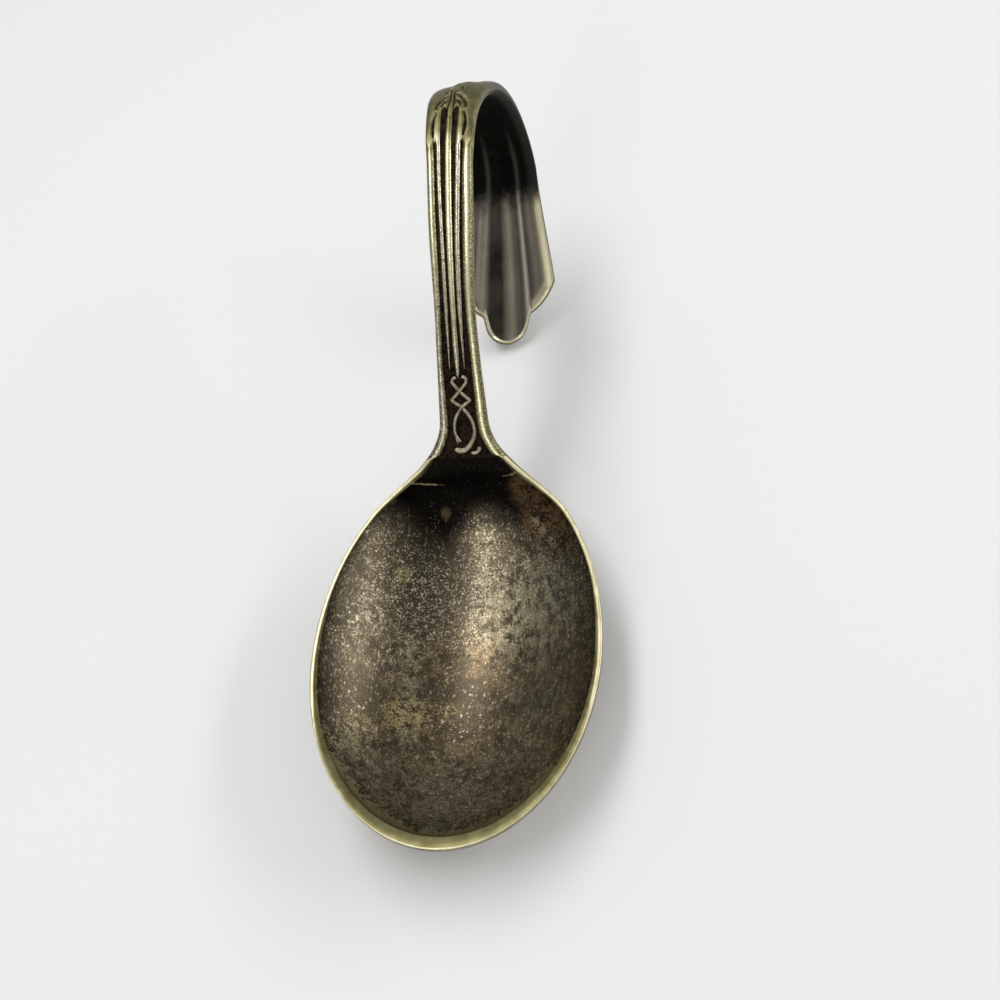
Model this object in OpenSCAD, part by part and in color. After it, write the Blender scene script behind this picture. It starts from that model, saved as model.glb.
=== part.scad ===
// Baby spoon with a curled finger-loop handle, struck from one blank of plated metal.
// Every surface is drawn on the flat blank, as distance along it, distance across it and
// height above its face, and on_blank() then bends that blank to the finished shape.

/* [Bowl] */
// Width of the bowl over its rim
bowl_w = 29; // [25:0.5:34]
// Length from the widest place to the front edge
bowl_front = 20.4; // [17:0.2:24]
// Length from the widest place to where the bowl's own oval would close behind
bowl_rear = 22.6; // [21:0.2:26]
// Depth of the hollow below the rim
bowl_depth = 7.1; // [5.5:0.1:9]
// Thickness of the metal at the bottom of the bowl
bowl_wall = 1.1; // [0.8:0.05:1.5]
// Width of the rim's flat top
rim_w = 0.6; // [0.5:0.05:1]
// Height of the rim's outer edge
rim_edge = 0.7; // [0.5:0.05:0.9]
// Slope of the rim down towards the front edge, in degrees
rim_fall = 1.5; // [0:0.1:3]
// Depth worn off the underside, which leaves the flat that the bowl rests on
rest_wear = 0.2; // [0.1:0.02:0.4]

/* [Shoulders] */
// Distance behind the widest place where the rim line and the shank line would meet
neck_reach = 17.9; // [16.5:0.1:19.5]
// Radius of the bend from the rim line up to the shank
neck_r = 7.5; // [6:0.1:9]
// Width lost on each side for each millimetre along the shoulder
shoulder_slope = 1.25; // [1.1:0.05:1.4]
// Length from the end of the neck bend to where the two shoulder lines would meet
shoulder_reach = 3.6; // [3:0.1:4.5]
// Softness of the corner between the bowl's oval and the shoulder
oval_ease = 1; // [0.6:0.1:2]
// Softness of the corner between the shoulder and the shank
shoulder_ease = 3.6; // [2.4:0.1:4.2]

/* [Handle path] */
// Slope of the straight shank above the horizontal, in degrees
shank_angle = 52; // [48:0.5:56]
// Length of the straight shank
shank_len = 9.3; // [9:0.1:12]
// Radius of the long sweep above the shank
sweep_r = 50; // [40:1:60]
// Angle that the sweep turns through
sweep_turn = 27; // [24:0.5:30]
// Outer radius of the finger loop's crown
crown_r = 11.8; // [10.5:0.1:13]
// Angle that the crown turns through
crown_turn = 142; // [136:0.5:146]
// Radius of the tail, which comes back down to the table
tail_r = 68; // [60:1:90]
// Height of the tail's end above the table
tip_lift = 0.15; // [0.05:0.05:0.5]

/* [Hand bend] */
// Angle that the hand-bent loop is twisted along its own length, 0 for a true loop
loop_twist = 18; // [0:1:20]
// Sideways shift of the loop by the end of its crown
loop_drift = 1.75; // [0:0.05:2]
// Part of that shift which the tail takes back by its end
tail_return = 1.05; // [0:0.05:1.5]

/* [Handle section] */
// Width at the foot of the shank
foot_w = 5.2; // [4.9:0.1:5.8]
// Width at the waist, the narrowest place
waist_w = 4; // [3.6:0.1:4.4]
// Width where the crown starts
crown_w = 4.9; // [4.5:0.1:5.5]
// Width where the tail starts
tail_w = 8.5; // [8:0.1:9.6]
// Width over the shoulders of the side lobes
tip_w = 12.3; // [12:0.1:14]
// Thickness of the shank and the crown
strap_t = 1.5; // [1.3:0.05:1.8]
// Thickness of the fluted tail
tail_t = 1.2; // [1:0.05:1.4]
// Height of the handle's squared edge
strap_edge = 1; // [0.8:0.05:1.2]
// Depth of the rounding along the crown's outer edges
edge_round = 0.3; // [0.1:0.05:0.5]

/* [Relief] */
// Depth of the sunk field between the two edge beads
field_depth = 0.35; // [0.25:0.05:0.5]
// Distance past the neck bend where the sunk field and the beads start
field_start = 0.4; // [0.2:0.1:0.8]
// Height of the upright sides of a bead or reed
rib_side = 0.08; // [0.04:0.01:0.14]
// Width of each edge bead
bead_w = 0.75; // [0.6:0.05:0.85]
// Width of the centre reed
centre_reed_w = 0.6; // [0.4:0.05:0.7]
// Width of the side reeds at the crown
side_reed_w = 0.48; // [0.36:0.02:0.56]
// Width of a reed's lower end
reed_point_w = 0.14; // [0.1:0.02:0.2]
// Length over which the centre reed comes to its point
centre_reed_taper = 3; // [2:0.5:6]
// Place of the side reeds, as a share of the half width
reed_share = 0.38; // [0.34:0.01:0.42]
// Depth of the grooves between the three flutes of the tail
flute_depth = 0.45; // [0.2:0.05:0.6]
// Place of those grooves, as a share of the half width
flute_share = 0.42; // [0.36:0.01:0.48]
// Length of the centre lobe beyond the side lobes
centre_lobe = 3.6; // [2.5:0.1:5]
// Length of the side lobes' rounded ends
side_lobe = 4; // [2.5:0.1:4.5]

/* [Knot] */
// Clear space between the start of the sunk field and the knot
knot_lift = 0.2; // [0.15:0.05:0.5]
// Clear space between the knot's horns and the reeds
knot_gap = 0.12; // [0.08:0.02:0.4]
// Thickness of the knot's strands above the field
knot_rise = 0.28; // [0.2:0.02:0.34]
// Width of a strand
strand_w = 0.36; // [0.28:0.02:0.4]
// Half width of the knot's lower loop
loop_half_w = 1; // [0.9:0.05:1.1]
// Half diagonal of the diamond above the loop
diamond_half = 1.15; // [1:0.05:1.2]
// Length of the two horns above the diamond
horn_len = 1.5; // [1:0.05:1.6]
// Lean of the horns to each side, in degrees
horn_lean = 30; // [20:1:35]
// Radius of the cradle under the loop
cradle_r = 1.15; // [1.05:0.05:1.25]
// Angle from the middle of the cradle to each end
cradle_turn = 62; // [50:1:70]
// Radius of the round ends of the cradle
cradle_end_r = 0.26; // [0.22:0.02:0.3]

/* [Hidden] */

// Fineness of the surfaces
bowl_columns = 18;
bowl_front_rows = 14;
bowl_rear_rows = 24;
strap_columns = 8;
shank_rows = 6;
sweep_rows = 14;
crown_rows = 24;
tail_rows = 10;
lobe_rows = 7;
lobe_columns = 6;
bead_columns = 6;

// Form of the hollow and of the handle's back, from nearly elliptic to nearly flat
bowl_roundness = 0.85;
strap_roundness = 0.3;
// Form of the side lobes' ends, from straight to elliptic
lobe_roundness = 1.3;
// Half width of the blunt front edge, in degrees round the oval
front_edge_angle = 4.7;
// Share of the crown that is past before the twist and the flutes begin
twist_begin = 0.12;
flutes_begin = 0.6;
// Step for measuring the slope of the outline
slope_step = rim_w / 20;
$fn = 48;

function arc_len(radius, angle) = radius * angle * PI / 180;
function smooth(t) = let (u = max(0, min(1, t))) u * u * (3 - 2 * u);
function mix(a, b, t) = a + (b - a) * t;
function soft_min(a, b, ease) =
    let (h = max(0, min(1, 0.5 + 0.5 * (b - a) / ease))) mix(b, a, h) - ease * h * (1 - h);
function soft_max(a, b, ease) = -soft_min(-a, -b, ease);

// The blank's middle line: a straight rim line, then five runs of [length, turn].
// A state on it is [y, z, slope]; the widest place of the bowl stands over the origin.
rim_h = bowl_depth + bowl_wall - rest_wear;
neck_turn = shank_angle - rim_fall;
neck_tangent = neck_r * tan(neck_turn / 2);
bend_y = (neck_reach - neck_tangent) * cos(rim_fall);
bend_start = [bend_y, rim_h + bend_y * tan(rim_fall), rim_fall];

function advance(from, length, turn) =
    let (a = from[2], b = a + turn)
    turn == 0
        ? [from[0] + length * cos(a), from[1] + length * sin(a), a]
        : let (r = length / (turn * PI / 180))
          [from[0] + r * (sin(b) - sin(a)), from[1] - r * (cos(b) - cos(a)), b];

neck_run = [arc_len(neck_r, neck_turn), neck_turn];
shank_run = [shank_len, 0];
sweep_run = [arc_len(sweep_r, sweep_turn), -sweep_turn];
crown_run = [arc_len(crown_r, crown_turn), -crown_turn];
after_neck = advance(bend_start, neck_run[0], neck_run[1]);
after_shank = advance(after_neck, shank_run[0], shank_run[1]);
after_sweep = advance(after_shank, sweep_run[0], sweep_run[1]);
after_crown = advance(after_sweep, crown_run[0], crown_run[1]);
// The tail runs on until its outer face is down at the table
tail_slope = -acos(cos(after_crown[2]) - (after_crown[1] - tip_lift) / tail_r);
tail_turn = after_crown[2] - tail_slope;
tail_run = [arc_len(tail_r, tail_turn), -tail_turn];
RUNS = [neck_run, shank_run, sweep_run, crown_run, tail_run];

// Distances along the blank, from the start of the neck bend
wide_s = -bend_y / cos(rim_fall);
neck_s = neck_run[0];
shank_s = neck_s + shank_run[0];
sweep_s = shank_s + sweep_run[0];
crown_s = sweep_s + crown_run[0];
tip_s = crown_s + tail_run[0];
field_s = neck_s + field_start;
shoulder_s = neck_s + shoulder_reach;
lobe_s = tip_s - centre_lobe - side_lobe;
twist_s = mix(sweep_s, crown_s, twist_begin);
flute_s = mix(sweep_s, crown_s, flutes_begin);

function middle(s, i = 0, from = bend_start) =
    let (run = RUNS[i])
    s < 0 && i == 0 ? advance(from, s, 0)
    : s <= run[0] || i == len(RUNS) - 1 ? advance(from, s, run[1] * s / run[0])
    : middle(s - run[0], i + 1, advance(from, run[0], run[1]));

function loop_share(s) = smooth((s - twist_s) / (crown_s - twist_s));
function twist(s) = loop_twist * loop_share(s);
function drift(s) = loop_drift * loop_share(s) - tail_return * max(0, s - crown_s) / (tip_s - crown_s);

// Bends the flat blank: s along it, x across it, h above its decorated face
function on_blank(s, x, h) =
    let (m = middle(s), t = twist(s), rise = x * sin(t) + h * cos(t))
    [drift(s) + x * cos(t) - h * sin(t), m[0] - rise * sin(m[2]), m[1] + rise * cos(m[2])];

// Outline of the blank: the bowl's oval, straight shoulders, and the strap's widths by stations
function oval(s) =
    let (t = (s - wide_s) / (s < wide_s ? bowl_front : bowl_rear)) bowl_w / 2 * sqrt(max(0, 1 - t * t));
function shoulder(s) = shoulder_slope * (shoulder_s - s);

STATIONS = [
    [neck_s + shank_len / 4, foot_w / 2],
    [shank_s + sweep_run[0] / 4, waist_w / 2],
    [sweep_s, crown_w / 2],
    [crown_s, tail_w / 2],
    [lobe_s, tip_w / 2]
];
last_station = len(STATIONS) - 1;

function station_slope(i) =
    let (a = STATIONS[max(0, i - 1)], b = STATIONS[min(last_station, i + 1)]) (b[1] - a[1]) / (b[0] - a[0]);
function strap_from(i, s) =
    let (a = STATIONS[i], b = STATIONS[i + 1], length = b[0] - a[0], t = (s - a[0]) / length)
    mix(a[1], b[1], t * t * (3 - 2 * t))
    + length * t * (1 - t) * ((1 - t) * station_slope(i) - t * station_slope(i + 1));
function strap(s, i = 0) =
    s < STATIONS[0][0] ? STATIONS[0][1]
    : s > STATIONS[last_station][0]
        ? STATIONS[last_station][1] + (s - STATIONS[last_station][0]) * station_slope(last_station)
    : s <= STATIONS[i + 1][0] ? strap_from(i, s)
    : strap(s, i + 1);

function half_w(s) =
    let (bowl_side = s < neck_s - oval_ease ? soft_min(oval(s), shoulder(s), oval_ease) : shoulder(s))
    s < 0 ? bowl_side : soft_max(bowl_side, strap(s), shoulder_ease);
function outline_slope(s) = (half_w(s + slope_step) - half_w(s - slope_step)) / (2 * slope_step);

// Columns across a row, closer together at the edges
function across(count) = [for (j = [0:count]) -cos(180 * j / count)];
function rows(from, to, count) = [for (i = [0:count]) mix(from, to, i / count)];

// One closed solid between two grids of points, the upper face and the under face
module slab(upper, under) {
    columns = len(upper[0]);
    last_row = len(upper) - 1;
    edge = columns - 1;
    points = [for (i = [0:last_row]) each concat(upper[i], under[i])];
    function u(i, j) = i * 2 * columns + j;
    function d(i, j) = u(i, j) + columns;
    faces = concat(
        [for (i = [0:last_row - 1], j = [0:edge - 1]) each [
            [u(i, j), u(i + 1, j), u(i + 1, j + 1)], [u(i, j), u(i + 1, j + 1), u(i, j + 1)],
            [d(i, j), d(i + 1, j + 1), d(i + 1, j)], [d(i, j), d(i, j + 1), d(i + 1, j + 1)]]],
        [for (i = [0:last_row - 1]) each [
            [u(i + 1, 0), u(i, 0), d(i, 0)], [u(i + 1, 0), d(i, 0), d(i + 1, 0)],
            [u(i, edge), u(i + 1, edge), d(i + 1, edge)], [u(i, edge), d(i + 1, edge), d(i, edge)]]],
        [for (j = [0:edge - 1]) each [
            [u(0, j), u(0, j + 1), d(0, j + 1)], [u(0, j), d(0, j + 1), d(0, j)],
            [u(last_row, j + 1), u(last_row, j), d(last_row, j)],
            [u(last_row, j + 1), d(last_row, j), d(last_row, j + 1)]]]
    );
    polyhedron(points, faces);
}

// Bowl: an oval hollow whose depth follows its width, inside a flat-topped rim
function hollow(share) = pow(max(0, 1 - share * share), bowl_roundness);
function front_depth(angle) = bowl_depth * pow(sin(angle), 2 * bowl_roundness);
function rear_depth(s) =
    let (share = (half_w(s) - half_w(field_s)) / (bowl_w / 2 - half_w(field_s)))
    mix(field_depth, bowl_depth, pow(max(0, share), 2 * bowl_roundness));
function under_form(share, flatness) =
    pow(max(0, 1 - share * share), mix(bowl_roundness, strap_roundness, flatness));
function under_h(share, depth, flatness) =
    let (edge = mix(rim_edge, strap_edge, flatness))
    -edge - (mix(depth + bowl_wall, strap_t, flatness) - edge) * under_form(share, flatness);

function rim_row(outer_s, outer_w, inner_s, inner_w, depth) =
    let (inner = across(bowl_columns - 2))
    concat([on_blank(outer_s, -outer_w, 0)],
           [for (g = inner) on_blank(inner_s, g * inner_w, -depth * hollow(g))],
           [on_blank(outer_s, outer_w, 0)]);
function under_row(s, w, depth, flatness) =
    [for (g = across(bowl_columns)) on_blank(s, g * w, under_h(g, depth, flatness))];

function round_oval(t) = mix(front_edge_angle, 90, t);
function front_outer_s(t) = wide_s - bowl_front * cos(round_oval(t));
function front_outer_w(t) = bowl_w / 2 * sin(round_oval(t));

module bowl() {
    front_steps = rows(0, 1, bowl_front_rows);
    rear_s = [for (i = [1:bowl_rear_rows]) mix(wide_s, field_s, i / bowl_rear_rows)];
    front_edge = [for (g = across(bowl_columns)) on_blank(front_outer_s(0), g * front_outer_w(0), 0)];
    upper = concat(
        [front_edge],
        [for (i = [1:bowl_front_rows])
            let (t = front_steps[i], angle = 90 * t)
            rim_row(front_outer_s(t), front_outer_w(t), wide_s - (bowl_front - rim_w) * cos(angle),
                    (bowl_w / 2 - rim_w) * sin(angle), front_depth(angle))],
        [for (s = rear_s)
            let (w = half_w(s), inset = rim_w * sqrt(1 + pow(outline_slope(s), 2)))
            rim_row(s, w, s, w - inset, rear_depth(s))]
    );
    under = concat(
        [for (t = front_steps) under_row(front_outer_s(t), front_outer_w(t), front_depth(round_oval(t)), 0)],
        [for (s = rear_s) under_row(s, half_w(s), rear_depth(s), smooth(s / field_s))]
    );
    below = bowl_w;
    color("#6b6152") difference() {
        slab(upper, under);
        translate([-below, -below, -below]) cube([2 * below, 2 * below, below]);
    }
}

// Shank: the sunk field that carries the beads, reeds and knot, over a rounded back
SHANK_ROWS = concat(rows(field_s, shank_s, shank_rows),
                    [for (i = [1:sweep_rows]) mix(shank_s, sweep_s, i / sweep_rows)]);

module shank() {
    field = [for (s = SHANK_ROWS) [for (g = across(strap_columns)) on_blank(s, g * half_w(s), -field_depth)]];
    back = [for (s = SHANK_ROWS)
        [for (g = across(strap_columns)) on_blank(s, g * half_w(s), under_h(g, 0, 1))]];
    color("#3d352a") slab(field, back);
}

// A rounded rib that stands on the sunk field: its middle and width follow the row it crosses
module rib(rib_rows, middles, widths) {
    steps = [for (j = [0:bead_columns]) 2 * j / bead_columns - 1];
    top = [for (i = [0:len(rib_rows) - 1]) [for (g = steps)
        on_blank(rib_rows[i], middles[i] + g * widths[i] / 2,
                 rib_side - field_depth + (field_depth - rib_side) * sqrt(1 - g * g))]];
    foot = [for (i = [0:len(rib_rows) - 1]) [for (g = steps)
        on_blank(rib_rows[i], middles[i] + g * widths[i] / 2, -field_depth)]];
    slab(top, foot);
}

module bead(side) {
    color("#b9ad74")
        rib(SHANK_ROWS, [for (s = SHANK_ROWS) side * (half_w(s) - bead_w / 2)], [for (s = SHANK_ROWS) bead_w]);
}
module left_bead() bead(-1);
module right_bead() bead(1);

REED_ROWS = rows(shank_s, sweep_s, sweep_rows);

module side_reed(side) {
    widths = [for (s = REED_ROWS) mix(reed_point_w, side_reed_w, (s - shank_s) / (sweep_s - shank_s))];
    color("#a59a6c") rib(REED_ROWS, [for (s = REED_ROWS) side * reed_share * half_w(s)], widths);
}
module left_reed() side_reed(-1);
module right_reed() side_reed(1);

module centre_reed() {
    widths = [for (s = REED_ROWS)
        mix(reed_point_w, centre_reed_w, smooth((s - shank_s) / centre_reed_taper))];
    color("#b9ad74") rib(REED_ROWS, [for (s = REED_ROWS) 0], widths);
}

// Knot: two strands that cross above and below a diamond and part into a loop over a cradle.
// It is drawn flat, with the shank's own line as its y axis, and stands on the sunk field.
module strand(length) translate([-strand_w / 2, 0, 0]) cube([strand_w, length, knot_rise]);
module strand_arc(radius, from, turn)
    rotate(from) rotate_extrude(angle = turn)
        translate([radius - strand_w / 2, 0]) square([strand_w, knot_rise]);

module knot() {
    foot_point = on_blank(field_s + knot_lift + strand_w / 2, 0, -field_depth);
    // Distance from the diamond's centre to the middle of a strand, up and down
    crossing = diamond_half - strand_w / sqrt(2);
    horn_h = horn_len * cos(horn_lean) + strand_w / 2 * sin(horn_lean);
    loop_h = shank_len - field_start - knot_lift - strand_w / 2 - 2 * crossing - horn_h - knot_gap;
    side_r = (pow(loop_h / 2, 2) + pow(loop_half_w, 2)) / (2 * loop_half_w);
    side_angle = asin(loop_h / 2 / side_r);
    color("#8f8478") translate(foot_point) rotate([shank_angle, 0, 0]) union() {
        for (side = [0, 1]) mirror([side, 0, 0]) {
            translate([loop_half_w - side_r, loop_h / 2, 0]) strand_arc(side_r, -side_angle, 2 * side_angle);
            translate([0, loop_h + 2 * crossing, 0]) rotate(-horn_lean) strand(horn_len);
            translate([cradle_r * sin(cradle_turn), cradle_r * (1 - cos(cradle_turn)), 0])
                cylinder(r = cradle_end_r, h = knot_rise);
        }
        translate([0, loop_h + crossing, 0]) rotate(45) difference() {
            side = diamond_half * sqrt(2);
            opening = side - 2 * strand_w;
            translate([-side / 2, -side / 2, 0]) cube([side, side, knot_rise]);
            translate([-opening / 2, -opening / 2, -knot_rise]) cube([opening, opening, 3 * knot_rise]);
        }
        translate([0, cradle_r, 0]) strand_arc(cradle_r, -90 - cradle_turn, 2 * cradle_turn);
    }
}

// Crown and tail: a plain strap that opens into three flutes, each ending in its own round lobe
function flutes(s) = smooth((s - flute_s) / (crown_s - flute_s));
function flute_place(share) =
    let (a = abs(share))
    a <= flute_share ? a / flute_share : abs(2 * (a - flute_share) / (1 - flute_share) - 1);
function face_h(s, share) =
    let (f = flutes(s))
    -edge_round * (1 - f) * pow(share, 6) - f * flute_depth * pow(flute_place(share), 2);
function back_h(s, share) = mix(under_h(share, 0, 1), face_h(s, share) - tail_t, flutes(s));

LOBES = [[-1, -flute_share], [-flute_share, flute_share], [flute_share, 1]];
LOBE_COLUMNS = concat([-1], [for (lobe = LOBES, j = [1:lobe_columns])
    mix(lobe[0], lobe[1], (1 - cos(180 * j / lobe_columns)) / 2)]);

// Where each column of the tail ends: an ellipse for the centre lobe, a slanted curve at each side
function lobe_end(share) =
    let (a = abs(share), side = (a - flute_share) / (1 - flute_share))
    a <= flute_share
        ? tip_s - centre_lobe * (1 - sqrt(1 - pow(a / flute_share, 2)))
        : lobe_s + side_lobe * pow(max(0, 1 - pow(side, lobe_roundness)), 1 / lobe_roundness);

module strap_slab(grid) {
    face = [for (row = grid) [for (p = row) on_blank(p[0], p[1] * half_w(p[0]), face_h(p[0], p[1]))]];
    back = [for (row = grid) [for (p = row) on_blank(p[0], p[1] * half_w(p[0]), back_h(p[0], p[1]))]];
    slab(face, back);
}

module crown() {
    grid = [for (s = rows(sweep_s, crown_s, crown_rows)) [for (share = LOBE_COLUMNS) [s, share]]];
    color("#8d835c") strap_slab(grid);
}

module lobed_tip() {
    even_end = lobe_s - side_lobe;
    grid = concat(
        [for (s = rows(crown_s, even_end, tail_rows)) [for (share = LOBE_COLUMNS) [s, share]]],
        [for (i = [1:lobe_rows])
            [for (share = LOBE_COLUMNS) [mix(even_end, lobe_end(share), sin(90 * i / lobe_rows)), share]]]
    );
    color("#7a7163") strap_slab(grid);
}

bowl();
shank();
crown();
lobed_tip();
left_bead();
right_bead();
left_reed();
centre_reed();
right_reed();
knot();
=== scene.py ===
import math

import bmesh
import bpy
import numpy as np
from mathutils import Matrix, Vector


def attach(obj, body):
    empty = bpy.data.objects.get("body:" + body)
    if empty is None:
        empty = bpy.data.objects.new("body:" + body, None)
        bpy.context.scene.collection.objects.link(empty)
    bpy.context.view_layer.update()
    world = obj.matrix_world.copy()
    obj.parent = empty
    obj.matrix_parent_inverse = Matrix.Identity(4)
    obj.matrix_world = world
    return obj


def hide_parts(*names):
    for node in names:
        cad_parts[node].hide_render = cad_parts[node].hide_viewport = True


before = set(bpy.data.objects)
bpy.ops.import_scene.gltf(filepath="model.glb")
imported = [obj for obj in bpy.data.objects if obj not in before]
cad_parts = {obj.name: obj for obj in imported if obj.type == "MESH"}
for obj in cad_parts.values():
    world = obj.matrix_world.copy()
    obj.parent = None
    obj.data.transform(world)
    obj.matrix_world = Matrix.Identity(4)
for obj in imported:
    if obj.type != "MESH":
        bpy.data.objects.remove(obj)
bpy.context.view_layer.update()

# Camera: above and in front of the bowl, a little to its right, with the frame tipped to the left.
# The lens takes in the spoon from the crown of its loop to the front edge of the bowl.
camera_at = Vector((0.02444, -0.05679, 0.10911))
camera_turn = math.radians(15.92)
camera_climb = math.radians(52.67)
camera_tip = math.radians(-14.83)
camera = bpy.data.objects.new("camera", bpy.data.cameras.new("camera"))
camera.data.sensor_fit = "HORIZONTAL"
camera.data.sensor_width = 36
camera.data.lens = 43.2
camera.data.clip_start = 0.005
camera.matrix_world = (Matrix.Translation(camera_at) @ Matrix.Rotation(camera_turn, 4, "Z")
                       @ Matrix.Rotation(math.pi / 2 - camera_climb, 4, "X")
                       @ Matrix.Rotation(camera_tip, 4, "Z"))
bpy.context.scene.collection.objects.link(camera)
bpy.context.scene.camera = camera


# Bowl: the oval end of a struck brass blank, raised by a punch into a hollow with a flat-topped rim.
# It was silver plated; the plate inside is thin, brown with tarnish and pitted, and the rim, the front
# edge and a ridge across each shoulder are polished through to the brass.
bowl_half_w = 14.5
bowl_front = 20.33
bowl_rear = 22.6
bowl_depth = 7.1
bowl_wall = 1.1
rest_wear = 0.2
rim_fall = math.radians(1.5)
rim_flat = 0.42
front_flat = 0.24
rim_ring = 0.5
side_ring = 0.7
front_ring = 1.25
neck_ring = 0.7
lip_slope = 0.34
rim_edge = 0.7
strap_edge = 1.0
strap_t = 1.5
field_depth = 0.35
field_start = 0.4
neck_flat_s = 4.2
dish_power = 0.85
hollow_power = 1.7
lip_power = 1.5
ridge_rise = 0.16
back_power = 0.3
back_in = 0.08


def smooth(t):
    t = np.clip(t, 0, 1)
    return t * t * (3 - 2 * t)


def ramp(v, start, length):
    """0 up to start and 1 from a length beyond it, smooth between; a negative length runs back."""
    return smooth((v - start) / length)


def bell(gap, width):
    return np.exp(-(gap / width) ** 2)


def mix(a, b, t):
    return a + (b - a) * t


def soft_min(a, b, ease):
    h = np.clip(0.5 + 0.5 * (b - a) / ease, 0, 1)
    return mix(b, a, h) - ease * h * (1 - h)


# The blank's line, seen from the side: straight along the rim, then runs of (length, turn) up the
# neck and the shank, over the sweep and the crown, and down the tail to the table.
neck_reach = 17.9
neck_r = 7.5
neck_turn = math.radians(52) - rim_fall
bend_y = (neck_reach - neck_r * math.tan(neck_turn / 2)) * math.cos(rim_fall)
bend_z = bowl_depth + bowl_wall - rest_wear + bend_y * math.tan(rim_fall)
shank_len = 9.3
sweep_r = 50.0
sweep_turn = math.radians(27)
crown_r = 11.8
crown_turn = math.radians(142)
tail_r = 68.0
tip_lift = 0.15
runs = [(neck_r * neck_turn, neck_turn), (shank_len, 0.0), (sweep_r * sweep_turn, -sweep_turn),
        (crown_r * crown_turn, -crown_turn)]


def blank_line(s):
    """Reach, height and slope of the blank, s mm from the start of the neck bend."""
    y = bend_y + np.minimum(s, 0) * math.cos(rim_fall)
    z = bend_z + np.minimum(s, 0) * math.sin(rim_fall)
    slope = rim_fall + 0 * s
    begin = 0.0
    a = rim_fall
    for length, turn in runs:
        step = np.clip(s - begin, 0, length)
        if turn == 0:
            y = y + step * math.cos(a)
            z = z + step * math.sin(a)
        else:
            curve = turn / length
            y = y + (np.sin(a + curve * step) - math.sin(a)) / curve
            z = z - (np.cos(a + curve * step) - math.cos(a)) / curve
            slope = slope + curve * step
        a += turn
        begin += length
    return y, z, slope


neck_s = runs[0][0]
shank_s = neck_s + shank_len
sweep_s = shank_s + runs[2][0]
crown_s = sweep_s + runs[3][0]
after_crown = blank_line(np.float64(crown_s))
tail_slope = -math.acos(math.cos(after_crown[2]) - (after_crown[1] - tip_lift) / tail_r)
runs.append((tail_r * (after_crown[2] - tail_slope), tail_slope - after_crown[2]))
tip_s = crown_s + runs[4][0]
wide_s = -bend_y / math.cos(rim_fall)
field_s = neck_s + field_start
loop_twist = math.radians(18)
loop_drift = 1.75
tail_return = 1.05
twist_s = mix(sweep_s, crown_s, 0.12)


def bend(points):
    """Bends points of the flat blank along its line, with the loop's twist and drift."""
    s, x, h = points[..., 0], points[..., 1], points[..., 2]
    y, z, slope = blank_line(s)
    share = ramp(s, twist_s, crown_s - twist_s)
    turn = loop_twist * share
    drift = loop_drift * share - tail_return * np.maximum(0, s - crown_s) / (tip_s - crown_s)
    rise = x * np.sin(turn) + h * np.cos(turn)
    return np.stack([drift + x * np.cos(turn) - h * np.sin(turn), y - rise * np.sin(slope),
                     z + rise * np.cos(slope)], axis=-1)


# The blank's outline: the oval, straight shoulders, and the strap's half widths by stations
shoulder_s = neck_s + 3.6
shoulder_slope = 1.25
shoulder_ease = 1.0
neck_ease = 3.6
centre_lobe = 3.6
side_lobe = 4.0
lobe_s = tip_s - centre_lobe - side_lobe
station_s = np.array([neck_s + shank_len / 4, mix(shank_s, sweep_s, 0.25), mix(shank_s, sweep_s, 0.63),
                      sweep_s, crown_s, lobe_s])
station_w = np.array([2.62, 2.1, 2.29, 2.47, 4.25, 6.15])
before = [0, 0, 1, 2, 3, 4]
after = [1, 2, 3, 4, 5, 5]
station_slope = (station_w[after] - station_w[before]) / (station_s[after] - station_s[before])


def strap_half_w(s):
    i = np.clip(np.searchsorted(station_s, s) - 1, 0, 4)
    length = station_s[i + 1] - station_s[i]
    t = np.clip((s - station_s[i]) / length, 0, 1)
    curved = (mix(station_w[i], station_w[i + 1], t * t * (3 - 2 * t))
              + length * t * (1 - t) * ((1 - t) * station_slope[i] - t * station_slope[i + 1]))
    return curved + np.maximum(0, s - station_s[5]) * station_slope[5]


def half_w(s):
    t = (s - wide_s) / np.where(s < wide_s, bowl_front, bowl_rear)
    oval = bowl_half_w * np.sqrt(np.maximum(0, 1 - t * t))
    shoulder = shoulder_slope * (shoulder_s - s)
    side = np.where(s < neck_s - 1, soft_min(oval, shoulder, shoulder_ease), shoulder)
    return np.where(s < 0, side, -soft_min(-side, -strap_half_w(s), neck_ease))


def lean(s):
    """Length of the outline for each mm along the blank."""
    step = 0.04
    return np.sqrt(1 + ((half_w(s + step) - half_w(s - step)) / (2 * step)) ** 2)


def on_blank(s, x, h):
    """Points of the flat blank: s along it, x across it and h above its decorated face, in mm."""
    return np.stack(np.broadcast_arrays(s, x, h), axis=-1)


def grid_quads(ids):
    return np.stack([ids[:-1, :-1], ids[1:, :-1], ids[1:, 1:], ids[:-1, 1:]], axis=-1).reshape(-1, 4)


def metal_piece(name, points, faces, flat_faces):
    """A mesh object from blank points; each vertex keeps its place on the flat blank for the finishes."""
    mesh = bpy.data.meshes.new(name)
    placed = bend(points)
    placed[:, 2] = np.maximum(placed[:, 2], 0)
    mesh.from_pydata((placed * 0.001).tolist(), [], faces + flat_faces)
    mesh.polygons.foreach_set("use_smooth", [True] * len(faces) + [False] * len(flat_faces))
    work = bmesh.new()
    work.from_mesh(mesh)
    bmesh.ops.recalc_face_normals(work, faces=work.faces)
    for face in work.faces:
        if not face.smooth:
            for edge in face.edges:
                edge.smooth = False
    work.to_mesh(mesh)
    work.free()
    blank = mesh.attributes.new("blank", "FLOAT_VECTOR", "POINT")
    blank.data.foreach_set("vector", points[:, [1, 0, 2]].astype(np.float32).ravel())
    piece = bpy.data.objects.new(name, mesh)
    bpy.context.scene.collection.objects.link(piece)
    return piece


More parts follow.
